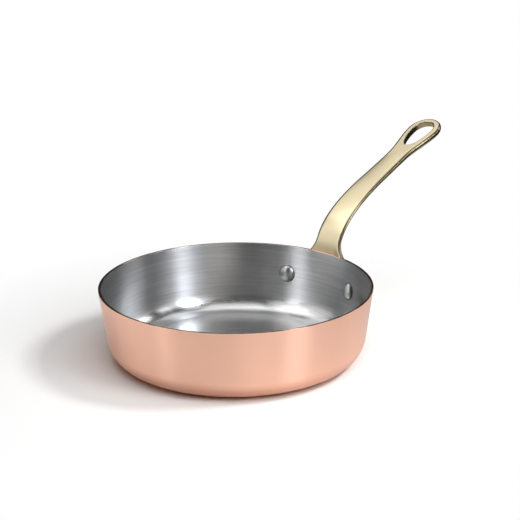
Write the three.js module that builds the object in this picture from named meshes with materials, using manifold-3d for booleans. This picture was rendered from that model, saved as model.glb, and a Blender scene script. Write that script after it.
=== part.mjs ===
// Small round pan: a copper shell with a steel lining and a long brass handle held by two rivets.
// Millimetres, +Z up. The origin is the centre of the base, and the handle points along +X.

import * as THREE from 'three';
import { LoftGeometry } from 'three/addons/geometries/LoftGeometry.js';
import { mergeVertices } from 'three/addons/utils/BufferGeometryUtils.js';
import Module from 'manifold-3d';

// Pan body
const RIM_DIAMETER = 120;
const PAN_HEIGHT = 32.4;
const WALL_LEAN_DEG = 7.5;
const CORNER_RADIUS = 10.8;
const COPPER_THICKNESS = 0.8;
const BOND_GAP = 0.05;
const LINING_THICKNESS = 0.25;

// Rivets, placed on the wall by the arc between them and by their height above the base
const RIVET_SPACING = 39;
const RIVET_HEIGHT = 19.2;
const SHANK_DIAMETER = 4.2;
const HEAD_DIAMETER = 8;
const HEAD_HEIGHT = 2.2;
const TAIL_DIAMETER = 7;
const TAIL_HEIGHT = 1.6;
const RIVET_CLEARANCE = 0.15;

// Handle line, seen from the side: up the wall, through a bend, then straight to the tip
const BEND_REACH = 31.4;
const BEND_RISE = 29.5;
const BEND_START_PULL = 5;
const BEND_END_PULL = 34;
const GRIP_SLOPE_DEG = 23;
const STRAIGHT_LENGTH = 52.5;

// Handle section and outline
const SEAT_GAP = 0.3;
const FOOT_THICKNESS = 2.2;
const LOOP_THICKNESS = 3.1;
const EAR_RADIUS = 6.3;
const ROOT_ABOVE_RIM = 7;
const FLARE_POWER = 2.3;
const GRIP_WIDTH = 14.1;
const NECK_WIDTH = 11.4;
const NECK_BEFORE_HOLE = 7.8;
const LOOP_WIDTH = 17.2;
const FOOT_EDGE_WIDTH = 1.6;
const GRIP_EDGE_WIDTH = 1.7;
const LOOP_EDGE_WIDTH = 1.6;
const FOOT_END_ROUNDING = 1.6;

// Hanging hole: a pointed part towards the pan and a round part towards the tip
const HOLE_WIDTH = 10.2;
const HOLE_POINT_LENGTH = 13.6;
const HOLE_ROUND_LENGTH = 6.4;
const LOOP_END_WALL = 3.3;

// Facets
const PAN_SEGMENTS = 72;
const CORNER_STEPS = 8;
const RIVET_SEGMENTS = 20;
const DOME_STEPS = 5;
const FACE_STEPS = 8;
const EDGE_STEPS = 4;
const EAR_STEPS = 12;
const FLARE_STEPS = 9;
const GRIP_STEPS = 14;
const LOOP_STEPS = 7;
const HOLE_STEPS = 40;

const wallLean = THREE.MathUtils.degToRad(WALL_LEAN_DEG);
const gripSlope = THREE.MathUtils.degToRad(GRIP_SLOPE_DEG);
const wallBuild = COPPER_THICKNESS + BOND_GAP + LINING_THICKNESS;

const wasm = await Module();
wasm.setup();

// Booleans on closed geometry
function solidFrom(geometry) {
  const bare = new THREE.BufferGeometry();
  bare.setAttribute('position', geometry.attributes.position);
  bare.setIndex(geometry.index);
  const merged = mergeVertices(bare, 1e-4);
  const vertProperties = new Float32Array(merged.attributes.position.array);
  const triVerts = new Uint32Array(merged.index.array);
  return new wasm.Manifold(new wasm.Mesh({ numProp: 3, vertProperties, triVerts }));
}

function geometryFrom(solid) {
  const mesh = solid.getMesh();
  const geometry = new THREE.BufferGeometry();
  geometry.setAttribute('position', new THREE.Float32BufferAttribute(mesh.vertProperties, 3));
  geometry.setIndex(Array.from(mesh.triVerts));
  geometry.computeVertexNormals();
  return geometry;
}

function cut(geometry, cutters) {
  let solid = solidFrom(geometry);
  for (const cutter of cutters) {
    solid = solid.subtract(solidFrom(cutter));
  }
  return geometryFrom(solid);
}

// Outside of the pan wall, as a radius at a height
function wallRadius(height) {
  return RIM_DIAMETER / 2 - (PAN_HEIGHT - height) * Math.tan(wallLean);
}

// Half profile of the pan surface that lies a given depth inside the outer face
function panProfile(depth) {
  const cornerCentre = wallRadius(CORNER_RADIUS) - CORNER_RADIUS / Math.cos(wallLean);
  const cornerRadius = CORNER_RADIUS - depth;
  const points = [new THREE.Vector2(0, depth)];
  for (let step = 0; step <= CORNER_STEPS; step += 1) {
    const angle = THREE.MathUtils.lerp(-Math.PI / 2, -wallLean, step / CORNER_STEPS);
    const radius = cornerCentre + cornerRadius * Math.cos(angle);
    points.push(new THREE.Vector2(radius, CORNER_RADIUS + cornerRadius * Math.sin(angle)));
  }
  points.push(new THREE.Vector2(RIM_DIAMETER / 2 - depth / Math.cos(wallLean), PAN_HEIGHT));
  return points;
}

// A skin between two depths, spun about the pan's axis
function panSkin(outerDepth, innerDepth) {
  const profile = [...panProfile(outerDepth), ...panProfile(innerDepth).reverse()];
  const geometry = new THREE.LatheGeometry(profile, PAN_SEGMENTS);
  geometry.rotateX(Math.PI / 2);
  return geometry;
}

// Where a rivet crosses the outside of the wall, with +Z of its own frame pointing out of the pan
function rivetFrame(side) {
  const radius = wallRadius(RIVET_HEIGHT);
  const around = side * RIVET_SPACING / 2 / radius;
  const position = new THREE.Vector3(radius * Math.cos(around), radius * Math.sin(around), RIVET_HEIGHT);
  const outward = new THREE.Vector3(
    Math.cos(wallLean) * Math.cos(around),
    Math.cos(wallLean) * Math.sin(around),
    -Math.sin(wallLean),
  );
  const turn = new THREE.Quaternion().setFromUnitVectors(new THREE.Vector3(0, 0, 1), outward);
  return new THREE.Matrix4().compose(position, turn, new THREE.Vector3(1, 1, 1));
}

// Points of a low dome, from its edge to its top
function domePoints(radius, base, height) {
  const points = [];
  for (let step = 0; step <= DOME_STEPS; step += 1) {
    const angle = step / DOME_STEPS * Math.PI / 2;
    points.push(new THREE.Vector2(radius * Math.cos(angle), base + height * Math.sin(angle)));
  }
  points[DOME_STEPS].x = 0;
  return points;
}

// One rivet: dome inside the pan, shank, and formed tail outside the handle's foot
function rivetGeometry() {
  const headRadius = HEAD_DIAMETER / 2;
  const innerRadius = wallRadius(RIVET_HEIGHT) - wallBuild;
  const wallRiseUnderHead = innerRadius - Math.sqrt(innerRadius ** 2 - headRadius ** 2);
  const headSeat = -wallBuild - RIVET_CLEARANCE - wallRiseUnderHead;
  const tailSeat = SEAT_GAP + FOOT_THICKNESS + RIVET_CLEARANCE;
  const profile = [
    ...domePoints(headRadius, headSeat, -HEAD_HEIGHT).reverse(),
    new THREE.Vector2(SHANK_DIAMETER / 2, headSeat),
    new THREE.Vector2(SHANK_DIAMETER / 2, tailSeat),
    ...domePoints(TAIL_DIAMETER / 2, tailSeat, TAIL_HEIGHT),
  ];
  const geometry = new THREE.LatheGeometry(profile, RIVET_SEGMENTS);
  geometry.rotateX(Math.PI / 2);
  return geometry;
}

// Cutter for a rivet's hole through lining, shell and foot
function rivetHole(side) {
  const reach = 4 * (wallBuild + SEAT_GAP + FOOT_THICKNESS);
  const radius = SHANK_DIAMETER / 2 + RIVET_CLEARANCE;
  const geometry = new THREE.CylinderGeometry(radius, radius, reach, RIVET_SEGMENTS);
  geometry.rotateX(Math.PI / 2);
  geometry.applyMatrix4(rivetFrame(side));
  return geometry;
}

// Handle line in the plane through the pan's axis: x is the distance from the axis, y the height
const up = new THREE.Vector2(Math.sin(wallLean), Math.cos(wallLean));
const out = new THREE.Vector2(Math.cos(wallLean), -Math.sin(wallLean));
const along = new THREE.Vector2(Math.cos(gripSlope), Math.sin(gripSlope));
const rivetSeat = new THREE.Vector2(wallRadius(RIVET_HEIGHT), RIVET_HEIGHT).addScaledVector(out, SEAT_GAP);
const rimSeat = new THREE.Vector2(wallRadius(PAN_HEIGHT), PAN_HEIGHT).addScaledVector(out, SEAT_GAP);
const footStart = rivetSeat.clone().addScaledVector(up, -EAR_RADIUS);
const bendEnd = rimSeat.clone().add(new THREE.Vector2(BEND_REACH, BEND_RISE));
const tip = bendEnd.clone().addScaledVector(along, STRAIGHT_LENGTH);

const handleLine = new THREE.CurvePath();
handleLine.add(new THREE.LineCurve(footStart, rimSeat));
handleLine.add(new THREE.CubicBezierCurve(
  rimSeat,
  rimSeat.clone().addScaledVector(up, BEND_START_PULL),
  bendEnd.clone().addScaledVector(along, -BEND_END_PULL),
  bendEnd,
));
handleLine.add(new THREE.LineCurve(bendEnd, tip));

// Distances along the handle line
const handleLength = handleLine.getLength();
const rimAt = footStart.distanceTo(rimSeat);
const earEndAt = 2 * EAR_RADIUS;
const rootAt = rimAt + ROOT_ABOVE_RIM;
const loopAt = handleLength - LOOP_END_WALL - HOLE_ROUND_LENGTH;
const neckAt = loopAt - HOLE_POINT_LENGTH - NECK_BEFORE_HOLE;

function ease(from, to, start, end, at) {
  return THREE.MathUtils.lerp(from, to, THREE.MathUtils.smoothstep(at, start, end));
}

// Half the handle's width at a distance along its line
function halfWidth(at) {
  const earCentre = RIVET_SPACING / 2;
  if (at <= earEndAt) {
    return earCentre + Math.sqrt(Math.max(0, EAR_RADIUS ** 2 - (at - EAR_RADIUS) ** 2));
  }
  if (at <= rootAt) {
    const left = (rootAt - at) / (rootAt - earEndAt);
    return GRIP_WIDTH / 2 + (earCentre - GRIP_WIDTH / 2) * left ** FLARE_POWER;
  }
  if (at <= neckAt) {
    return ease(GRIP_WIDTH, NECK_WIDTH, rootAt, neckAt, at) / 2;
  }
  if (at <= loopAt) {
    return ease(NECK_WIDTH, LOOP_WIDTH, neckAt, loopAt, at) / 2;
  }
  const past = (at - loopAt) / (handleLength - loopAt);
  return LOOP_WIDTH / 2 * Math.sqrt(Math.max(0, 1 - past ** 2));
}

// Thickness at a distance along the line: thinner at the foot, with its lower edge rounded off
function thickness(at) {
  const body = ease(FOOT_THICKNESS, LOOP_THICKNESS, rootAt, neckAt, at);
  const fromEdge = Math.max(0, FOOT_END_ROUNDING - at);
  return body - FOOT_END_ROUNDING + Math.sqrt(FOOT_END_ROUNDING ** 2 - fromEdge ** 2);
}

// How far the rounding of an edge reaches across the face
function edgeWidth(at) {
  if (at <= neckAt) {
    return ease(FOOT_EDGE_WIDTH, GRIP_EDGE_WIDTH, rimAt, rootAt + 16, at);
  }
  return ease(GRIP_EDGE_WIDTH, LOOP_EDGE_WIDTH, neckAt, neckAt + NECK_BEFORE_HOLE, at);
}

// Section with oval edges: x runs across the handle, y from its upper face (0) to its under face
function sectionOutline(half, thick, edgeReach) {
  const edge = Math.min(edgeReach, half);
  const face = half - edge;
  const points = [];
  for (const side of [1, -1]) {
    for (let step = 0; step <= 2 * EDGE_STEPS; step += 1) {
      const angle = Math.PI / 2 * (step / EDGE_STEPS - 1);
      const x = side * (face + edge * Math.cos(angle));
      points.push(new THREE.Vector2(x, thick / 2 * (1 + side * Math.sin(angle))));
    }
    for (let step = 1; step < FACE_STEPS; step += 1) {
      const x = side * face * (1 - 2 * step / FACE_STEPS);
      points.push(new THREE.Vector2(x, thick / 2 * (1 + side)));
    }
  }
  return points.reverse();
}

// A point of the handle: wrapped round the pan at the foot, flat across the grip
function handlePoint(at, across, depth) {
  const line = handleLine.getPoint(at / handleLength);
  const run = handleLine.getTangent(at / handleLength);
  const radius = line.x + depth * run.y;
  const height = line.y - depth * run.x;
  const around = across / line.x;
  const wrapped = new THREE.Vector3(radius * Math.cos(around), radius * Math.sin(around), height);
  const flat = new THREE.Vector3(radius, across, height);
  return wrapped.lerp(flat, THREE.MathUtils.smoothstep(at, rimAt, rimAt + 2 * ROOT_ABOVE_RIM));
}

// Distances at which the handle's sections stand
function handleStations() {
  const stations = [];
  for (let step = 0; step < EAR_STEPS; step += 1) {
    stations.push(EAR_RADIUS * (1 - Math.cos(step / EAR_STEPS * Math.PI)));
  }
  for (let step = 0; step < FLARE_STEPS; step += 1) {
    stations.push(THREE.MathUtils.lerp(earEndAt, rootAt, step / FLARE_STEPS));
  }
  for (let step = 0; step < GRIP_STEPS; step += 1) {
    stations.push(THREE.MathUtils.lerp(rootAt, loopAt, step / GRIP_STEPS));
  }
  for (let step = 0; step <= LOOP_STEPS; step += 1) {
    stations.push(loopAt + (handleLength - loopAt) * Math.sin(step / LOOP_STEPS * Math.PI / 2));
  }
  return stations;
}

// Cutter for the hanging hole, square to the upper face of the loop
function hangingHole() {
  const outline = [];
  for (let step = 0; step < HOLE_STEPS; step += 1) {
    const angle = step / HOLE_STEPS * 2 * Math.PI;
    const length = Math.cos(angle) > 0 ? HOLE_ROUND_LENGTH : HOLE_POINT_LENGTH;
    outline.push(new THREE.Vector2(length * Math.cos(angle), HOLE_WIDTH / 2 * Math.sin(angle)));
  }
  const depth = 4 * LOOP_THICKNESS;
  const geometry = new THREE.ExtrudeGeometry(new THREE.Shape(outline), { depth, bevelEnabled: false });
  const centre = handleLine.getPoint(loopAt / handleLength);
  geometry.translate(0, 0, -depth / 2);
  geometry.rotateY(-gripSlope);
  geometry.translate(centre.x, 0, centre.y);
  return geometry;
}

// The loft starts on a line across the foot's lower edge and ends on a line down the tip
function handleGeometry() {
  const lowerEdge = sectionOutline(halfWidth(0), 0, edgeWidth(0));
  const sections = [lowerEdge.map((point) => handlePoint(0, point.x, thickness(0) / 2))];
  for (const at of handleStations()) {
    const outline = sectionOutline(halfWidth(at), thickness(at), edgeWidth(at));
    sections.push(outline.map((point) => handlePoint(at, point.x, point.y)));
  }
  const blank = new LoftGeometry(sections);
  return cut(blank, [hangingHole(), rivetHole(1), rivetHole(-1)]);
}

// Materials
const copper = new THREE.MeshStandardMaterial({ color: 0xd99b7c, roughness: 0.32, metalness: 1 });
const steel = new THREE.MeshStandardMaterial({ color: 0xbcbcbe, roughness: 0.35, metalness: 1 });
const brass = new THREE.MeshStandardMaterial({ color: 0xd9bf86, roughness: 0.18, metalness: 1 });
const rivetSteel = new THREE.MeshStandardMaterial({ color: 0xc6c4c2, roughness: 0.25, metalness: 1 });

function named(name, geometry, material) {
  const mesh = new THREE.Mesh(geometry, material);
  mesh.name = name;
  return mesh;
}

function rivet(name, side) {
  const mesh = named(name, rivetGeometry(), rivetSteel);
  rivetFrame(side).decompose(mesh.position, mesh.quaternion, mesh.scale);
  return mesh;
}

const rivetHoles = [rivetHole(1), rivetHole(-1)];
const shellGeometry = cut(panSkin(0, COPPER_THICKNESS), rivetHoles);
const liningGeometry = cut(panSkin(COPPER_THICKNESS + BOND_GAP, wallBuild), rivetHoles);

const pan = new THREE.Group();
pan.add(named('copper_shell', shellGeometry, copper));
pan.add(named('steel_lining', liningGeometry, steel));
pan.add(named('handle', handleGeometry(), brass));
pan.add(rivet('rivet_left', 1));
pan.add(rivet('rivet_right', -1));

export default pan;
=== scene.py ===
"""Small copper pan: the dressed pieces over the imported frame, on a white table in soft studio light."""

import bisect
import math

import bmesh
import bpy
from mathutils import Matrix, Quaternion, Vector


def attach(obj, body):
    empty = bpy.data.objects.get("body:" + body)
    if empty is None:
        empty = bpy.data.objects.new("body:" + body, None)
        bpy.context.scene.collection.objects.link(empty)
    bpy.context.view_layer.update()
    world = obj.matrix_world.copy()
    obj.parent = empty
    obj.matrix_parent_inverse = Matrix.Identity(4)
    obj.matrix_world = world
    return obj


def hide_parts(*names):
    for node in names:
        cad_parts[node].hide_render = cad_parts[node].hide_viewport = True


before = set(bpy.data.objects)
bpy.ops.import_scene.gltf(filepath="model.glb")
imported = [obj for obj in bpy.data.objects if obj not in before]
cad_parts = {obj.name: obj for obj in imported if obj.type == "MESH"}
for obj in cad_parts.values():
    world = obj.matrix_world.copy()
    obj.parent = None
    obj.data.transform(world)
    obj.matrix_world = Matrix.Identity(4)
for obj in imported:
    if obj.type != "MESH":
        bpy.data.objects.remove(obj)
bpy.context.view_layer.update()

# Lengths of the pieces are in millimetres, those of the studio in metres
MM = 0.001

# Pan, as in the solid model
RIM_RADIUS = 60.0
PAN_HEIGHT = 32.4
WALL_LEAN = math.radians(7.5)
CORNER_RADIUS = 10.8
COPPER_THICKNESS = 0.8
BOND_GAP = 0.05
LINING_THICKNESS = 0.25
WALL_BUILD = COPPER_THICKNESS + BOND_GAP + LINING_THICKNESS

# Rivets, as in the solid model
RIVET_SPACING = 39.0
RIVET_HEIGHT = 19.2
SHANK_RADIUS = 2.1
HEAD_RADIUS = 4.0
HEAD_HEIGHT = 2.2
TAIL_RADIUS = 3.5
TAIL_HEIGHT = 1.6

# Handle, as in the solid model
BEND_REACH = 31.4
BEND_RISE = 29.5
BEND_START_PULL = 5.0
BEND_END_PULL = 34.0
GRIP_SLOPE = math.radians(23.0)
STRAIGHT_LENGTH = 52.5
SEAT_GAP = 0.3
FOOT_THICKNESS = 2.2
LOOP_THICKNESS = 3.1
EAR_RADIUS = 6.3
ROOT_ABOVE_RIM = 7.0
FLARE_POWER = 2.3
GRIP_WIDTH = 14.1
NECK_WIDTH = 11.4
NECK_BEFORE_HOLE = 7.8
LOOP_WIDTH = 17.2
FOOT_EDGE_WIDTH = 1.6
GRIP_EDGE_WIDTH = 1.7
LOOP_EDGE_WIDTH = 1.6
EDGE_EASE_PAST_ROOT = 16.0
FOOT_END_ROUNDING = 1.6
HOLE_WIDTH = 10.2
HOLE_POINT_LENGTH = 13.6
HOLE_ROUND_LENGTH = 6.4
LOOP_END_WALL = 3.3

# Fine forms that the solid model leaves out
RIM_EDGE_RADIUS = 0.08
BOND_EDGE_RADIUS = 0.05
LINING_EDGE_RADIUS = 0.12
HOLE_EDGE_RADIUS = 0.5
FACE_CROWN = 0.15
CROWN_RISE_LENGTH = 20.0
CROWN_FALL_LENGTH = 12.0

# Where the mesh of the grip meets that of the loop: distance before the hole, and turn round the hole
SEAM_BEFORE_HOLE = 3.0
SEAM_TURN = math.radians(160)

# Hammer blows on the rivet heads: the direction of each and how far its flat lies from the middle of the
# head's base. The share is how much of the dome beyond a flat is pushed in.
LEFT_BLOWS = (
    ((0.1, 0.15, -1), 1.75),
    ((-0.75, 0.5, -1), 2.15),
    ((0.85, 0.35, -1), 2.1),
    ((0.1, -0.8, -1), 2.15),
)
RIGHT_BLOWS = (
    ((-0.2, 0.1, -1), 1.75),
    ((0.7, 0.6, -1), 2.1),
    ((-0.6, -0.8, -1), 2.15),
    ((0.75, -0.6, -1), 2.15),
)
BLOW_SHARE = 0.28

# Fineness of the meshes
PAN_SEGMENTS = 256
FLOOR_STEPS = 12
CORNER_STEPS = 28
WALL_STEPS = 18
RIM_STEPS = 5
RIVET_SEGMENTS = 64
DOME_STEPS = 16
FOOT_LINE_STEPS = 40
BEND_LINE_STEPS = 600
GRIP_LINE_STEPS = 60
EAR_STEPS = 36
FLARE_STEPS = 26
GRIP_STEPS = 70
LOOP_STEPS = 96
FACE_STEPS = 16
EDGE_STEPS = 10
BAND_STEPS = 6
SCREEN_STEPS = 72
WELD_DISTANCE = 0.002
SLIVER_LENGTH = 0.0005

# Where the rows of the straight wall end, to leave room for the rounding of the rim
WALL_END_BELOW_RIM = 0.4

# Half the length of line over which the handle's direction is taken
LINE_RUN = 0.2

# Colours of the metals, where they are darkest and lightest. The dark copper is painted shade at the bottom
# corner,
#  the dark rivet steel painted shade where a head meets the wall, the dark brass dull cast sides with painted
#  dark reflection on them, and the lining is lightened on its floor and corner by a painted highlight
COPPER_DARK = (0.7, 0.39, 0.28)
COPPER_LIGHT = (0.94, 0.57, 0.43)
LINING_DARK = (0.55, 0.55, 0.555)
LINING_LIGHT = (0.75, 0.75, 0.755)
CAST_BRASS_PAINTED_DARK = (0.28, 0.23, 0.14)
POLISHED_BRASS = (0.85, 0.74, 0.49)
RIVET_DARK = (0.14, 0.135, 0.13)
RIVET_LIGHT = (0.64, 0.63, 0.62)

# Roughness of the polished rim, to which the brushing adds on the rest of the pan
RIM_ROUGHNESS = 0.12

# Heights between which the finish changes and where painted light lies, and how much they change there: the
#  copper's corner shade is painted shade, the lining's brightening a painted highlight
RIM_POLISH_HEIGHTS = (PAN_HEIGHT - 0.12, PAN_HEIGHT - 0.04)
CORNER_SHADE_FOOT = (1.5, 4.5)
CORNER_SHADE_TOP = (4.5, 9.0)
CORNER_SHADE = 0.9
BASE_SHADE = 0.4
LINING_SHINE_HEIGHTS = (2.0, 8.0)
SHINE_SMOOTHING = 0.15
PAINTED_SHINE_GAIN = 0.4
HANDLE_ROOT_HEIGHTS = (34.0, 42.0)
ROOT_ROUGHENING = 0.2

# Other spans over which the colour changes: how far the surface of the handle turns to its left, to its right
#  and along the grip, and where its loop begins, for its sides painted dark, partly dull cast metal and
#  partly painted dark reflection; and how far a rivet head stands off the wall, for the painted shade round
#  it
LEFT_TURN = (0.06, 0.17)
RIGHT_TURN = (-0.2, -0.45)
END_TURN = (0.3, 0.7)
LOOP_START = (112.0, 116.0)
RIVET_PAINTED_SHADE_RING = (0.3, 1.1)

# Span that holds most of a noise pattern
NOISE_SPAN = (0.3, 0.7)

# Turn of the highlights on brushed metal, as a share of a full turn
GRAIN_TURN = 0.25

# Camera, from the fit of the rim, base and handle in the photograph
CAMERA_AT = Vector((-0.44570, -0.43494, 0.25097))
CAMERA_TARGET = Vector((0.00980, -0.00531, 0.04232))
CAMERA_ROLL = math.radians(-0.315)
CAMERA_LENS = 104.55
SENSOR_WIDTH = 36

# Directions on the table: towards the camera, and to its right
FRONT = Vector((CAMERA_AT.x, CAMERA_AT.y, 0)).normalized()
SIDE = Vector((-FRONT.y, FRONT.x, 0))

# Table: lit and shaded nearer than the fade, plain white beyond it
TABLE_COLOUR = (0.9, 0.9, 0.9)
TABLE_REACH = 4.0
TABLE_DROP = 0.0001
TABLE_FADE = (0.095, 0.16)

# Dark screens that the metal mirrors, through (radius, height) points, between two turns in degrees
SCREEN_COLOUR = (0.03, 0.03, 0.028)
ROOM_PROFILE = ((1.6, 0), (1.6, 1.9), (0.01, 1.9))
ROOM_TURNS = (-180, 180)
CARD_PROFILE = ((0.26, 0), (0.26, 0.1))
CARD_TURNS = (25, 205)

# Softboxes: name, turn to the right of the camera and elevation in degrees, width, height, brightness, colour
STUDIO_CENTRE = Vector((0.01, 0.0, 0.02))
SOFTBOX_DISTANCE = 0.9
WHITE = (1.0, 1.0, 1.0)
COOL = (0.95, 1.0, 1.06)
WARM = (1.0, 0.93, 0.83)
METAL_LIGHTS = (
    ("key_strip", 53, 38, 0.22, 0.5, 9.5, COOL),
    ("key_side", 34, 36, 0.16, 0.4, 1.4, WHITE),
    ("right_card", 80, 36, 0.26, 0.13, 4.5, WHITE),
    ("right_back_card", 117, 33, 0.2, 0.3, 3.6, WHITE),
    ("front_left_strip", -60, 20, 0.2, 0.4, 2.9, WHITE),
    ("front_left_panel", -70, 51, 0.56, 0.3, 1.1, WHITE),
    ("left_strip", -93, 23, 0.6, 0.9, 0.9, WHITE),
    ("left_panel", -98, 61, 0.5, 0.36, 1.05, WHITE),
    ("back_panel", -165, 62.8, 1.1, 0.7, 1.0, WHITE),
    ("front_fill", 18, 20, 0.3, 0.5, 0.45, WARM),
    ("front_low_card", 10, 8, 0.4, 0.1, 1.8, WARM),
    ("top_panel", 0, 86, 0.5, 0.5, 1.15, WHITE),
)
TABLE_LIGHTS = (
    ("floor_key", 88, 49, 0.2, 0.2, 35.0, WHITE),
    ("floor_front", 54, 38, 0.3, 0.5, 5.5, WHITE),
    ("floor_sky", 5, 69, 0.9, 0.9, 2.5, WHITE),
)


# Numbers and curves

def mix(a, b, t):
    return a + (b - a) * t


def between(a, b, steps):
    """Evenly spaced values from a to b, both ends included."""
    return [mix(a, b, s / steps) for s in range(steps + 1)]


def smooth(t):
    """Runs from 0 to 1 with a soft start and end, and stays level outside them."""
    t = min(max(t, 0.0), 1.0)
    return t * t * (3 - 2 * t)


def ease(a, b, start, end, at):
    """Runs softly from a to b while at goes from start to end."""
    return mix(a, b, smooth((at - start) / (end - start)))


def arc(cx, cy, radius, start, end, steps):
    """Points of an arc, angles in degrees."""
    angles = [math.radians(a) for a in between(start, end, steps)]
    return [(cx + radius * math.cos(a), cy + radius * math.sin(a)) for a in angles]


def oval(x, y, width, depth, start, end):
    """Points of an arc of an oval, angles in degrees."""
    return [(x + width * c, y + depth * d) for c, d in arc(0, 0, 1, start, end, EDGE_STEPS)]


# Meshes and objects

def new_build():
    return {"verts": [], "faces": []}


def add_grid(build, rows, wrap=False):
    """Adds a grid of points, row by row, as quads. With wrap, each row closes on itself."""
    start = len(build["verts"])
    count = len(rows[0])
    for row in rows:
        build["verts"].extend(row)
    for i in range(len(rows) - 1):
        for j in range(count if wrap else count - 1):
            k = (j + 1) % count
            a = start + i * count
            b = a + count
            build["faces"].append((a + j, a + k, b + k, b + j))


def lathe_rows(profile, segments):
    """Rows of points round the Z axis, one row for each (radius, height) of the profile."""
    turns = between(0, 2 * math.pi, segments)[:-1]
    return [[(r * math.cos(t), r * math.sin(t), z) for t in turns] for r, z in profile]


def add_object(name, data):
    """A new object in the scene."""
    item = bpy.data.objects.new(name, data)
    bpy.context.scene.collection.objects.link(item)
    return item


def make_piece(name, build, material, node):
    """Joins the grids of a build into one closed, smooth piece that stands for a node of the frame."""
    mesh = bpy.data.meshes.new(name)
    mesh.from_pydata([Vector(v) * MM for v in build["verts"]], [], build["faces"])
    work = bmesh.new()
    work.from_mesh(mesh)
    bmesh.ops.remove_doubles(work, verts=work.verts, dist=WELD_DISTANCE * MM)
    bmesh.ops.dissolve_degenerate(work, edges=work.edges, dist=SLIVER_LENGTH * MM)
    bmesh.ops.recalc_face_normals(work, faces=work.faces)
    work.to_mesh(mesh)
    work.free()
    mesh.shade_smooth()
    mesh.materials.append(material)
    piece = add_object(name, mesh)
    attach(piece, "root")
    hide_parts(node)


# Pan body

def wall_radius(height):
    """Radius of the outside of the wall, where it is straight."""
    return RIM_RADIUS - (PAN_HEIGHT - height) * math.tan(WALL_LEAN)


def pan_surface(depth):
    """Half profile of the pan surface a given depth inside the outer face, from the axis to near the rim."""
    centre = wall_radius(CORNER_RADIUS) - CORNER_RADIUS / math.cos(WALL_LEAN)
    floor = [(x, depth) for x in between(0, centre, FLOOR_STEPS)[:-1]]
    wall_angle = -math.degrees(WALL_LEAN)
    corner = arc(centre, CORNER_RADIUS, CORNER_RADIUS - depth, -90, wall_angle, CORNER_STEPS)
    heights = between(corner[-1][1], PAN_HEIGHT - WALL_END_BELOW_RIM, WALL_STEPS)[1:]
    wall = [(wall_radius(z) - depth / math.cos(WALL_LEAN), z) for z in heights]
    return floor + corner + wall


def pan_skin(outer, inner, outer_edge, inner_edge):
    """Closed profile of a skin between two depths, with its two rim edges rounded."""
    outer_rim = RIM_RADIUS - outer / math.cos(WALL_LEAN)
    inner_rim = RIM_RADIUS - inner / math.cos(WALL_LEAN)
    rim = arc(outer_rim - outer_edge, PAN_HEIGHT - outer_edge, outer_edge, 0, 90, RIM_STEPS)
    rim += arc(inner_rim + inner_edge, PAN_HEIGHT - inner_edge, inner_edge, 90, 180, RIM_STEPS)
    return pan_surface(outer) + rim + pan_surface(inner)[::-1]


def make_shell(material):
    build = new_build()
    profile = pan_skin(0, COPPER_THICKNESS, RIM_EDGE_RADIUS, BOND_EDGE_RADIUS)
    add_grid(build, lathe_rows(profile, PAN_SEGMENTS), wrap=True)
    make_piece("copper_shell_skin", build, material, "copper_shell")


def make_lining(material):
    build = new_build()
    profile = pan_skin(COPPER_THICKNESS + BOND_GAP, WALL_BUILD, BOND_EDGE_RADIUS, LINING_EDGE_RADIUS)
    add_grid(build, lathe_rows(profile, PAN_SEGMENTS), wrap=True)
    make_piece("steel_lining_skin", build, material, "steel_lining")


# Rivets

def rivet_matrix(side):
    """Frame of a rivet on the outside of the wall, with +Z pointing out of the pan."""
    radius = wall_radius(RIVET_HEIGHT)
    around = side * RIVET_SPACING / 2 / radius
    place = Vector((radius * math.cos(around), radius * math.sin(around), RIVET_HEIGHT))
    lean = math.cos(WALL_LEAN)
    outward = Vector((lean * math.cos(around), lean * math.sin(around), -math.sin(WALL_LEAN)))
    turn = Vector((0, 0, 1)).rotation_difference(outward)
    return Matrix.Translation(place) @ turn.to_matrix().to_4x4()


def hammered(point, blows):
    """A point of a rivet head, pushed in where a hammer blow flattened the dome."""
    for direction, reach in blows:
        over = point.dot(direction) - reach
        if over > 0:
            point = point - direction * over * BLOW_SHARE
    return point


def make_rivet(name, side, node, material, blows):
    """Domed head inside the pan, shank, and formed tail outside the handle's foot."""
    inner_radius = wall_radius(RIVET_HEIGHT) - WALL_BUILD
    curve = inner_radius - math.sqrt(inner_radius ** 2 - HEAD_RADIUS ** 2)
    head_seat = Vector((0, 0, -WALL_BUILD - curve))
    tail_seat = SEAT_GAP + FOOT_THICKNESS
    quarter = between(0, math.pi / 2, DOME_STEPS)
    head = [(HEAD_RADIUS * math.sin(a), -HEAD_HEIGHT * math.cos(a)) for a in quarter]
    tail = [(TAIL_RADIUS * math.cos(a), tail_seat + TAIL_HEIGHT * math.sin(a)) for a in quarter]
    shank = [(HEAD_RADIUS, head_seat.z), (SHANK_RADIUS, head_seat.z), (SHANK_RADIUS, tail_seat)]
    flats = [(Vector(direction).normalized(), reach) for direction, reach in blows]
    rows = [[hammered(Vector(p), flats) + head_seat for p in row] for row in lathe_rows(head, RIVET_SEGMENTS)]
    rows += [[Vector(p) for p in row] for row in lathe_rows(shank + tail, RIVET_SEGMENTS)]
    matrix = rivet_matrix(side)
    build = new_build()
    add_grid(build, [[matrix @ p for p in row] for row in rows], wrap=True)
    make_piece(name, build, material, node)


# Handle line, in the plane through the pan's axis: distance from the axis, height

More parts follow.
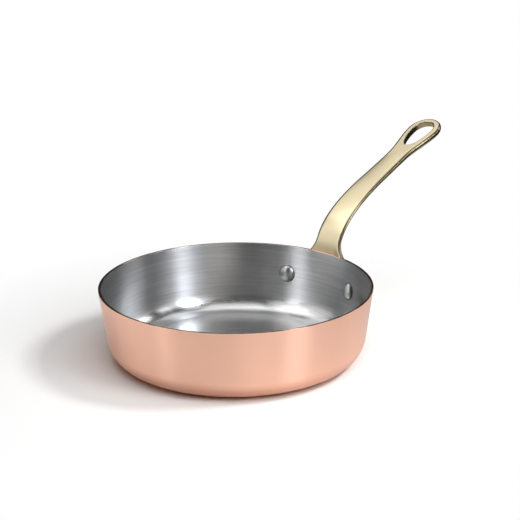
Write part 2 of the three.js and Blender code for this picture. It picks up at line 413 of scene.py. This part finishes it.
def handle_line():
    """Points of the handle's line from foot to tip, their distances along it, and that of the rim."""
    up = Vector((math.sin(WALL_LEAN), math.cos(WALL_LEAN)))
    out = Vector((math.cos(WALL_LEAN), -math.sin(WALL_LEAN)))
    along = Vector((math.cos(GRIP_SLOPE), math.sin(GRIP_SLOPE)))
    rivet_seat = Vector((wall_radius(RIVET_HEIGHT), RIVET_HEIGHT)) + out * SEAT_GAP
    rim_seat = Vector((wall_radius(PAN_HEIGHT), PAN_HEIGHT)) + out * SEAT_GAP
    foot = rivet_seat - up * EAR_RADIUS
    end = rim_seat + Vector((BEND_REACH, BEND_RISE))
    tip = end + along * STRAIGHT_LENGTH
    lead = rim_seat + up * BEND_START_PULL
    follow = end - along * BEND_END_PULL
    points = [foot.lerp(rim_seat, t) for t in between(0, 1, FOOT_LINE_STEPS)[:-1]]
    for t in between(0, 1, BEND_LINE_STEPS)[:-1]:
        u = 1 - t
        points.append(rim_seat * u ** 3 + lead * (3 * u * u * t) + follow * (3 * u * t * t) + end * t ** 3)
    points.extend(end.lerp(tip, t) for t in between(0, 1, GRIP_LINE_STEPS))
    distances = [0.0]
    for a, b in zip(points, points[1:]):
        distances.append(distances[-1] + (b - a).length)
    return points, distances, (rim_seat - foot).length


LINE_POINTS, LINE_AT, RIM_AT = handle_line()
HANDLE_LENGTH = LINE_AT[-1]
EAR_END_AT = 2 * EAR_RADIUS
ROOT_AT = RIM_AT + ROOT_ABOVE_RIM
LOOP_AT = HANDLE_LENGTH - LOOP_END_WALL - HOLE_ROUND_LENGTH
NECK_AT = LOOP_AT - HOLE_POINT_LENGTH - NECK_BEFORE_HOLE
SEAM_AT = LOOP_AT - HOLE_POINT_LENGTH - SEAM_BEFORE_HOLE


def line_point(at):
    """Point on the handle line at a distance along it."""
    at = min(max(at, 0.0), HANDLE_LENGTH)
    high = min(bisect.bisect_right(LINE_AT, at), len(LINE_AT) - 1)
    low = high - 1
    t = (at - LINE_AT[low]) / (LINE_AT[high] - LINE_AT[low])
    return LINE_POINTS[low].lerp(LINE_POINTS[high], t)


def half_width(at):
    """Half the handle's width at a distance along it."""
    ear = RIVET_SPACING / 2
    if at <= EAR_END_AT:
        return ear + math.sqrt(max(0.0, EAR_RADIUS ** 2 - (at - EAR_RADIUS) ** 2))
    if at <= ROOT_AT:
        to_root = (ROOT_AT - at) / (ROOT_AT - EAR_END_AT)
        return GRIP_WIDTH / 2 + (ear - GRIP_WIDTH / 2) * to_root ** FLARE_POWER
    if at <= NECK_AT:
        return ease(GRIP_WIDTH, NECK_WIDTH, ROOT_AT, NECK_AT, at) / 2
    if at <= LOOP_AT:
        return ease(NECK_WIDTH, LOOP_WIDTH, NECK_AT, LOOP_AT, at) / 2
    past = (at - LOOP_AT) / (HANDLE_LENGTH - LOOP_AT)
    return LOOP_WIDTH / 2 * math.sqrt(max(0.0, 1 - past ** 2))


def thickness(at):
    """The handle's thickness at a distance along it, rounded off at the end of the foot."""
    body = ease(FOOT_THICKNESS, LOOP_THICKNESS, ROOT_AT, NECK_AT, at)
    from_edge = max(0.0, FOOT_END_ROUNDING - at)
    return body - FOOT_END_ROUNDING + math.sqrt(FOOT_END_ROUNDING ** 2 - from_edge ** 2)


def edge_width(at):
    """How far the rounding of an edge reaches across the face."""
    if at <= NECK_AT:
        return ease(FOOT_EDGE_WIDTH, GRIP_EDGE_WIDTH, RIM_AT, ROOT_AT + EDGE_EASE_PAST_ROOT, at)
    return ease(GRIP_EDGE_WIDTH, LOOP_EDGE_WIDTH, NECK_AT, SEAM_AT, at)


def face_crown(at):
    """How much lower the face is at its edges than along its middle."""
    return FACE_CROWN * smooth((at - RIM_AT) / CROWN_RISE_LENGTH) * smooth((SEAM_AT - at) / CROWN_FALL_LENGTH)


def handle_point(at, across, depth):
    """A point of the handle: wrapped round the pan at the foot, flat across the grip."""
    line = line_point(at)
    run = (line_point(at + LINE_RUN) - line_point(at - LINE_RUN)).normalized()
    radius = line.x + depth * run.y
    height = line.y - depth * run.x
    around = across / line.x
    wrapped = Vector((radius * math.cos(around), radius * math.sin(around), height))
    flat = Vector((radius, across, height))
    return wrapped.lerp(flat, smooth((at - RIM_AT) / (2 * ROOT_ABOVE_RIM)))


# Handle surfaces

def section(half, thick, edge, crown):
    """Section with crowned faces and oval edges as (across, depth) points, from the upper face round."""
    face = half - edge
    middle = thick / 2
    lean = math.atan2(2 * crown, face)
    reach = edge / (1 - math.sin(lean))
    rise = (middle - crown) / math.cos(lean)
    start = 90 - math.degrees(lean)
    side = oval(half - reach, middle, reach, rise, -start, 0)
    side += oval(half - reach, middle, reach, rise, 0, start)
    steps = between(1, -1, FACE_STEPS)[1:-1]
    ring = list(side)
    ring += [(face * t, thick - crown * t * t) for t in steps]
    ring += [(-x, d) for x, d in side[::-1]]
    ring += [(-face * t, crown * t * t) for t in steps]
    return ring


def grip_stations():
    """Distances along the handle at which the grip has a section, from the foot to the seam."""
    stations = [EAR_RADIUS * (1 - math.cos(a)) for a in between(0, math.pi, EAR_STEPS)[:-1]]
    stations += between(EAR_END_AT, ROOT_AT, FLARE_STEPS)[:-1]
    stations += between(ROOT_AT, SEAM_AT, GRIP_STEPS)
    return stations


def hole_point(turn):
    """A point on the hole's outline and the direction from it into the metal, as (along, across)."""
    length = HOLE_ROUND_LENGTH if math.cos(turn) > 0 else HOLE_POINT_LENGTH
    point = Vector((LOOP_AT + length * math.cos(turn), HOLE_WIDTH / 2 * math.sin(turn)))
    normal = Vector((math.cos(turn) / length, math.sin(turn) / (HOLE_WIDTH / 2)))
    return point, normal.normalized()


def loop_point(turn):
    """A point on the loop's outer outline and the direction out of the metal, as (along, across)."""
    side = 1 if turn >= 0 else -1
    if abs(turn) <= math.pi / 2:
        length = HANDLE_LENGTH - LOOP_AT
        point = Vector((LOOP_AT + length * math.cos(turn), LOOP_WIDTH / 2 * math.sin(turn)))
        normal = Vector((math.cos(turn) / length, math.sin(turn) / (LOOP_WIDTH / 2)))
        return point, normal.normalized()
    part = (abs(turn) - math.pi / 2) / (SEAM_TURN - math.pi / 2)
    at = mix(LOOP_AT, SEAM_AT, part)
    return Vector((at, side * half_width(at))), Vector((0, side))


def edge_strip(point, inward, width, depth):
    """Points down an edge of the loop: an oval rounding at the top, the side, an oval rounding under."""
    strip = [(width - x, y) for x, y in oval(0, depth, width, depth, -90, 0)]
    strip += [(width - x, y) for x, y in oval(0, LOOP_THICKNESS - depth, width, depth, 0, 90)]
    places = [(point + inward * x, y) for x, y in strip]
    return [handle_point(p.x, p.y, y) for p, y in places]


def face_strip(outer, inner, depth):
    """Points across a flat face of the loop."""
    return [handle_point(*outer.lerp(inner, t), depth) for t in between(0, 1, BAND_STEPS)]


def add_grip(build):
    start = section(half_width(0), 0, FOOT_EDGE_WIDTH, 0)
    rows = [[handle_point(0, x, thickness(0) / 2) for x, _ in start]]
    for at in grip_stations():
        ring = section(half_width(at), thickness(at), edge_width(at), face_crown(at))
        rows.append([handle_point(at, x, d) for x, d in ring])
    add_grid(build, rows, wrap=True)


def add_loop(build):
    """The loop from seam to seam: its outer edge, and its faces between that and the hole."""
    edges, tops, unders = [], [], []
    for turn in between(SEAM_TURN, -SEAM_TURN, LOOP_STEPS):
        outer, outward = loop_point(turn)
        inner, inward = hole_point(turn)
        face_outer = outer - outward * LOOP_EDGE_WIDTH
        face_inner = inner + inward * HOLE_EDGE_RADIUS
        edges.append(edge_strip(outer, -outward, LOOP_EDGE_WIDTH, LOOP_THICKNESS / 2))
        tops.append(face_strip(face_outer, face_inner, 0))
        unders.append(face_strip(face_outer, face_inner, LOOP_THICKNESS))
    for rows in (edges, tops, unders):
        add_grid(build, rows)


def add_hole(build):
    """The wall of the hanging hole, and the faces between it and the neck."""
    neck_turns = between(SEAM_TURN, 2 * math.pi - SEAM_TURN, FACE_STEPS)
    wall = []
    for turn in between(SEAM_TURN, -SEAM_TURN, LOOP_STEPS) + [t - 2 * math.pi for t in neck_turns[::-1]]:
        inner, inward = hole_point(turn)
        wall.append(edge_strip(inner, inward, HOLE_EDGE_RADIUS, HOLE_EDGE_RADIUS))
    add_grid(build, wall)
    face = half_width(SEAM_AT) - LOOP_EDGE_WIDTH
    for depth in (0, LOOP_THICKNESS):
        rows = []
        for turn, across in zip(neck_turns, between(face, -face, FACE_STEPS)):
            inner, inward = hole_point(turn)
            rows.append(face_strip(Vector((SEAM_AT, across)), inner + inward * HOLE_EDGE_RADIUS, depth))
        add_grid(build, rows)


def make_handle(material):
    build = new_build()
    add_grip(build)
    add_loop(build)
    add_hole(build)
    make_piece("handle_casting", build, material, "handle")


# Shader building blocks

def metal(name, anisotropy=0.0):
    """A metal with its node tree and shader, to add the finish to."""
    material = bpy.data.materials.new(name)
    material.use_nodes = True
    tree = material.node_tree
    shader = tree.nodes["Principled BSDF"]
    shader.inputs["Metallic"].default_value = 1
    shader.inputs["Anisotropic"].default_value = anisotropy
    return material, tree, shader


def math_node(tree, operation, a, b=None):
    """One step of arithmetic on sockets or plain numbers."""
    node = tree.nodes.new("ShaderNodeMath")
    node.operation = operation
    for socket, value in zip(node.inputs, (a, b)):
        if value is None:
            continue
        if isinstance(value, (int, float)):
            socket.default_value = value
        else:
            tree.links.new(value, socket)
    return node.outputs[0]


def object_coordinates(tree):
    return tree.nodes.new("ShaderNodeTexCoord").outputs["Object"]


def split_vector(tree, vector):
    """The X, Y and Z of a vector."""
    node = tree.nodes.new("ShaderNodeSeparateXYZ")
    tree.links.new(vector, node.inputs[0])
    return node.outputs


def turned_place(tree):
    """The angle round the Z axis, the distance from it and the height."""
    x, y, z = split_vector(tree, object_coordinates(tree))
    squares = math_node(tree, "ADD", math_node(tree, "MULTIPLY", x, x), math_node(tree, "MULTIPLY", y, y))
    return math_node(tree, "ARCTAN2", y, x), math_node(tree, "SQRT", squares), z


def turned_coordinates(tree, around, across):
    """Coordinates that run round the Z axis, so that a texture on them draws lines round the pan."""
    join = tree.nodes.new("ShaderNodeCombineXYZ")
    for value, scale, socket in zip(turned_place(tree), (around, across, across), join.inputs):
        tree.links.new(math_node(tree, "MULTIPLY", value, scale), socket)
    return join.outputs[0]


def noise(tree, vector, scale=1.0, detail=3.0, rough=0.55):
    node = tree.nodes.new("ShaderNodeTexNoise")
    node.inputs["Scale"].default_value = scale
    node.inputs["Detail"].default_value = detail
    node.inputs["Roughness"].default_value = rough
    tree.links.new(vector, node.inputs["Vector"])
    return node.outputs["Fac"]


def spread(tree, value, span, first, last):
    """Runs from first to last while the value crosses the span, and stays level outside it."""
    node = tree.nodes.new("ShaderNodeMapRange")
    for key, number in zip(("From Min", "From Max", "To Min", "To Max"), (*span, first, last)):
        node.inputs[key].default_value = number
    tree.links.new(value, node.inputs["Value"])
    return node.outputs["Result"]


def vary(tree, pattern, low, high):
    """A noise pattern, stretched to run from low to high."""
    return spread(tree, pattern, NOISE_SPAN, low, high)


def in_metres(span):
    return [length * MM for length in span]


def by_height(tree, heights, first, last):
    """Runs from first to last between two heights above the table."""
    height = split_vector(tree, object_coordinates(tree))["Z"]
    return spread(tree, height, in_metres(heights), first, last)


def tint(tree, shader, factor, first, last):
    """Colours the metal from the first colour, where the factor is 0, to the last, where it is 1."""
    node = tree.nodes.new("ShaderNodeMix")
    node.data_type = "RGBA"
    sockets = {socket.identifier: socket for socket in [*node.inputs, *node.outputs]}
    sockets["A_Color"].default_value = (*first, 1)
    sockets["B_Color"].default_value = (*last, 1)
    tree.links.new(factor, sockets["Factor_Float"])
    tree.links.new(sockets["Result_Color"], shader.inputs["Base Color"])


def bump(tree, shader, height, strength, distance):
    node = tree.nodes.new("ShaderNodeBump")
    node.inputs["Strength"].default_value = strength
    node.inputs["Distance"].default_value = distance * MM
    tree.links.new(height, node.inputs["Height"])
    tree.links.new(node.outputs[0], shader.inputs["Normal"])


def turned_grain(tree, shader):
    """Highlights that stretch across the turning lines, as on metal brushed round its axis."""
    tangent = tree.nodes.new("ShaderNodeTangent")
    tangent.direction_type = "RADIAL"
    tangent.axis = "Z"
    tree.links.new(tangent.outputs[0], shader.inputs["Tangent"])
    shader.inputs["Anisotropic Rotation"].default_value = GRAIN_TURN


def brushed_roughness(tree, shader, brushing):
    """Adds the roughness of the brushing to that of the polished rim, but not on the rim's cut edge."""
    body = by_height(tree, RIM_POLISH_HEIGHTS, 1.0, 0.0)
    rough = math_node(tree, "ADD", math_node(tree, "MULTIPLY", brushing, body), RIM_ROUGHNESS)
    tree.links.new(rough, shader.inputs["Roughness"])


# Metals

def copper_material():
    """Copper brushed finely round the axis, with painted shade along its rounded bottom corner."""
    material, tree, shader = metal("satin_copper", anisotropy=0.93)
    turned_grain(tree, shader)
    lines = noise(tree, turned_coordinates(tree, around=3.0, across=900.0), detail=4.0)
    cloud = noise(tree, object_coordinates(tree), scale=22.0)
    brushing = math_node(tree, "ADD", vary(tree, lines, 0.27, 0.29), vary(tree, cloud, -0.01, 0.01))
    brushed_roughness(tree, shader, brushing)
    # Painted shade: the copper is darkened along its bottom corner, where it mirrors the shadow under the pan
    above = by_height(tree, CORNER_SHADE_TOP, CORNER_SHADE, 0.0)
    below = by_height(tree, CORNER_SHADE_FOOT, BASE_SHADE, CORNER_SHADE)
    shade = math_node(tree, "MINIMUM", above, below)
    bright = math_node(tree, "SUBTRACT", vary(tree, cloud, 0.9, 1.0), shade)
    tint(tree, shader, bright, COPPER_DARK, COPPER_LIGHT)
    bump(tree, shader, lines, strength=0.01, distance=0.05)
    return material


def lining_material():
    """Steel brushed round the axis, smoother on the floor and in the corner than on the wall, and painted
    brighter there as a painted highlight.
    """
    material, tree, shader = metal("brushed_lining_steel", anisotropy=0.87)
    turned_grain(tree, shader)
    lines = noise(tree, turned_coordinates(tree, around=2.2, across=900.0), detail=5.0, rough=0.7)
    bands = noise(tree, turned_coordinates(tree, around=1.2, across=260.0))
    shine = by_height(tree, LINING_SHINE_HEIGHTS, 1.0, 0.0)
    brushing = math_node(tree, "ADD", vary(tree, lines, 0.17, 0.27), vary(tree, bands, -0.015, 0.015))
    brushing = math_node(tree, "SUBTRACT", brushing, math_node(tree, "MULTIPLY", shine, SHINE_SMOOTHING))
    brushed_roughness(tree, shader, brushing)
    bright = vary(tree, lines, -0.1, 0.75)
    # Painted highlight: the floor and corner are painted brighter than the wall
    bright = math_node(tree, "ADD", bright, math_node(tree, "MULTIPLY", shine, PAINTED_SHINE_GAIN))
    tint(tree, shader, bright, LINING_DARK, LINING_LIGHT)
    bump(tree, shader, lines, strength=0.02, distance=0.1)
    return material


def facing(tree, direction):
    """How far the surface faces a direction: 1 straight at it, 0 square to it, -1 away from it."""
    node = tree.nodes.new("ShaderNodeVectorMath")
    node.operation = "DOT_PRODUCT"
    node.inputs[1].default_value = direction
    tree.links.new(tree.nodes.new("ShaderNodeTexCoord").outputs["Normal"], node.inputs[0])
    return node.outputs["Value"]


def cast_and_painted_dark_sides(tree):
    """1 on the sides of the handle and in its hole, 0 on its upper and under faces: where the brass is
    painted dark, partly as dull cast metal and partly as painted dark reflection.
    """
    across = facing(tree, (0, 1, 0))
    along = facing(tree, (math.cos(GRIP_SLOPE), 0, math.sin(GRIP_SLOPE)))
    left = spread(tree, across, LEFT_TURN, 0.0, 1.0)
    right = spread(tree, across, RIGHT_TURN, 0.0, 1.0)
    end = spread(tree, math_node(tree, "ABSOLUTE", along), END_TURN, 0.0, 1.0)
    out = split_vector(tree, object_coordinates(tree))["X"]
    loop = spread(tree, out, in_metres(LOOP_START), 0.0, 1.0)
    side = math_node(tree, "MAXIMUM", left, right)
    return math_node(tree, "MAXIMUM", side, math_node(tree, "MULTIPLY", end, loop))


def brass_material():
    """Brass casting: faces polished but for the root near the rim, sides and hole painted dark, partly as
    dull cast metal and partly as painted dark reflection.
    """
    material, tree, shader = metal("polished_brass")
    cloud = noise(tree, object_coordinates(tree), scale=60.0, detail=4.0)
    scratches = noise(tree, object_coordinates(tree), scale=900.0, detail=2.0)
    rough = math_node(tree, "ADD", vary(tree, cloud, 0.28, 0.3), vary(tree, scratches, -0.004, 0.004))
    rough = math_node(tree, "ADD", rough, by_height(tree, HANDLE_ROOT_HEIGHTS, ROOT_ROUGHENING, 0.0))
    tree.links.new(rough, shader.inputs["Roughness"])
    # Sides and hole painted dark: partly dull cast metal, partly painted dark reflection
    tint(tree, shader, cast_and_painted_dark_sides(tree), POLISHED_BRASS, CAST_BRASS_PAINTED_DARK)
    bump(tree, shader, cloud, strength=0.004, distance=0.2)
    return material


def distance_off_lining(tree):
    """How far a point lies from the inside of the wall, to either side."""
    _, radius, height = turned_place(tree)
    base = (wall_radius(0) - WALL_BUILD / math.cos(WALL_LEAN)) * MM
    wall = math_node(tree, "ADD", math_node(tree, "MULTIPLY", height, math.tan(WALL_LEAN)), base)
    return math_node(tree, "ABSOLUTE", math_node(tree, "SUBTRACT", wall, radius))


def rivet_material():
    """Steel with soft hammer dents, and painted shade where the head meets the wall."""
    material, tree, shader = metal("hammered_rivet_steel")
    dents = noise(tree, object_coordinates(tree), scale=520.0, detail=2.0)
    tree.links.new(vary(tree, dents, 0.28, 0.4), shader.inputs["Roughness"])
    # Painted shade: the head is darkened near the wall, where the two meet
    beyond_painted_shade = spread(tree, distance_off_lining(tree), in_metres(RIVET_PAINTED_SHADE_RING), 0.0, 1.0)
    bright = math_node(tree, "MULTIPLY", beyond_painted_shade, vary(tree, dents, 0.6, 1.0))
    tint(tree, shader, bright, RIVET_DARK, RIVET_LIGHT)
    bump(tree, shader, dents, strength=0.12, distance=0.4)
    return material


# Camera

def make_camera():
    data = bpy.data.cameras.new("camera")
    data.lens = CAMERA_LENS
    data.sensor_width = SENSOR_WIDTH
    camera = add_object("camera", data)
    camera.location = CAMERA_AT
    camera.rotation_mode = "QUATERNION"
    aim = (CAMERA_TARGET - CAMERA_AT).to_track_quat("-Z", "Y")
    camera.rotation_quaternion = aim @ Quaternion((0, 0, 1), CAMERA_ROLL)
    bpy.context.scene.camera = camera


# Studio

def studio_direction(turn, elevation):
    """A direction from the pan: turn in degrees to the right of the camera, elevation above the table."""
    a, e = math.radians(turn), math.radians(elevation)
    return (FRONT * math.cos(a) + SIDE * math.sin(a)) * math.cos(e) + Vector((0, 0, math.sin(e)))


def make_softbox(name, turn, elevation, width, height, radiance, colour, lights_table):
    """A rectangular soft light that faces the pan. It either lights the table or is mirrored by the metal."""
    light = bpy.data.lights.new(name, "AREA")
    light.shape = "RECTANGLE"
    light.size = width
    light.size_y = height
    light.energy = radiance * math.pi * width * height
    light.color = colour
    lamp = add_object(name, light)
    direction = studio_direction(turn, elevation)
    lamp.location = STUDIO_CENTRE + direction * SOFTBOX_DISTANCE
    lamp.rotation_mode = "QUATERNION"
    lamp.rotation_quaternion = (-direction).to_track_quat("-Z", "Y")
    lamp.visible_camera = False
    lamp.visible_diffuse = lights_table
    lamp.visible_glossy = not lights_table


def seen_rays(tree):
    """1 on rays that show the background, straight, mirrored or through glass, and 0 on those that light."""
    path = tree.nodes.new("ShaderNodeLightPath")
    seen = math_node(tree, "MAXIMUM", path.outputs["Is Camera Ray"], path.outputs["Is Glossy Ray"])
    return math_node(tree, "MAXIMUM", seen, path.outputs["Is Transmission Ray"])


def bare_material(name):
    """A material with no shader yet, its node tree, and the socket that takes the shader."""
    material = bpy.data.materials.new(name)
    material.use_nodes = True
    tree = material.node_tree
    tree.nodes.clear()
    output = tree.nodes.new("ShaderNodeOutputMaterial")
    return material, tree, output.inputs["Surface"]


def table_material():
    """White table: lit and shaded near the pan, plain white further off."""
    material, tree, surface = bare_material("white_table")
    paper = tree.nodes.new("ShaderNodeBsdfDiffuse")
    paper.inputs["Color"].default_value = (*TABLE_COLOUR, 1)
    glow = tree.nodes.new("ShaderNodeEmission")
    tree.links.new(seen_rays(tree), glow.inputs["Strength"])
    length = tree.nodes.new("ShaderNodeVectorMath")
    length.operation = "LENGTH"
    tree.links.new(object_coordinates(tree), length.inputs[0])
    blend = tree.nodes.new("ShaderNodeMixShader")
    tree.links.new(spread(tree, length.outputs["Value"], TABLE_FADE, 0.0, 1.0), blend.inputs["Fac"])
    tree.links.new(paper.outputs[0], blend.inputs[1])
    tree.links.new(glow.outputs[0], blend.inputs[2])
    tree.links.new(blend.outputs[0], surface)
    return material


def make_table():
    mesh = bpy.data.meshes.new("table")
    corners = [(x * TABLE_REACH, y * TABLE_REACH, 0) for x, y in ((-1, -1), (1, -1), (1, 1), (-1, 1))]
    mesh.from_pydata(corners, [], [(0, 1, 2, 3)])
    mesh.materials.append(table_material())
    table = add_object("table", mesh)
    table.location = (0, 0, -TABLE_DROP)


def dark_material():
    """An even dark grey that no light changes."""
    material, tree, surface = bare_material("dark_wall")
    glow = tree.nodes.new("ShaderNodeEmission")
    glow.inputs["Color"].default_value = (*SCREEN_COLOUR, 1)
    tree.links.new(glow.outputs[0], surface)
    return material


def make_dark_wall(name, material, profile, turns):
    """A dark screen round the pan, which only the metal mirrors and which casts no shadow."""
    steps = between(*turns, SCREEN_STEPS)
    build = new_build()
    add_grid(build, [[studio_direction(t, 0) * r + Vector((0, 0, z)) for t in steps] for r, z in profile])
    mesh = bpy.data.meshes.new(name)
    mesh.from_pydata(build["verts"], [], build["faces"])
    mesh.materials.append(material)
    wall = add_object(name, mesh)
    wall.visible_camera = False
    wall.visible_shadow = False


def make_world():
    """White where the camera or a reflection meets it, with no light on the table."""
    world = bpy.data.worlds.new("studio")
    world.use_nodes = True
    tree = world.node_tree
    background = tree.nodes["Background"]
    background.inputs["Color"].default_value = (*WHITE, 1)
    tree.links.new(seen_rays(tree), background.inputs["Strength"])
    bpy.context.scene.world = world


make_shell(copper_material())
make_lining(lining_material())
make_handle(brass_material())
rivet_finish = rivet_material()
make_rivet("rivet_left_dome", 1, "rivet_left", rivet_finish, LEFT_BLOWS)
make_rivet("rivet_right_dome", -1, "rivet_right", rivet_finish, RIGHT_BLOWS)

make_camera()
make_table()
screen_finish = dark_material()
make_dark_wall("dark_wall", screen_finish, ROOM_PROFILE, ROOM_TURNS)
make_dark_wall("dark_card", screen_finish, CARD_PROFILE, CARD_TURNS)
make_world()
for softbox in METAL_LIGHTS:
    make_softbox(*softbox, lights_table=False)
for softbox in TABLE_LIGHTS:
    make_softbox(*softbox, lights_table=True)

bpy.context.scene.view_settings.view_transform = "Standard"
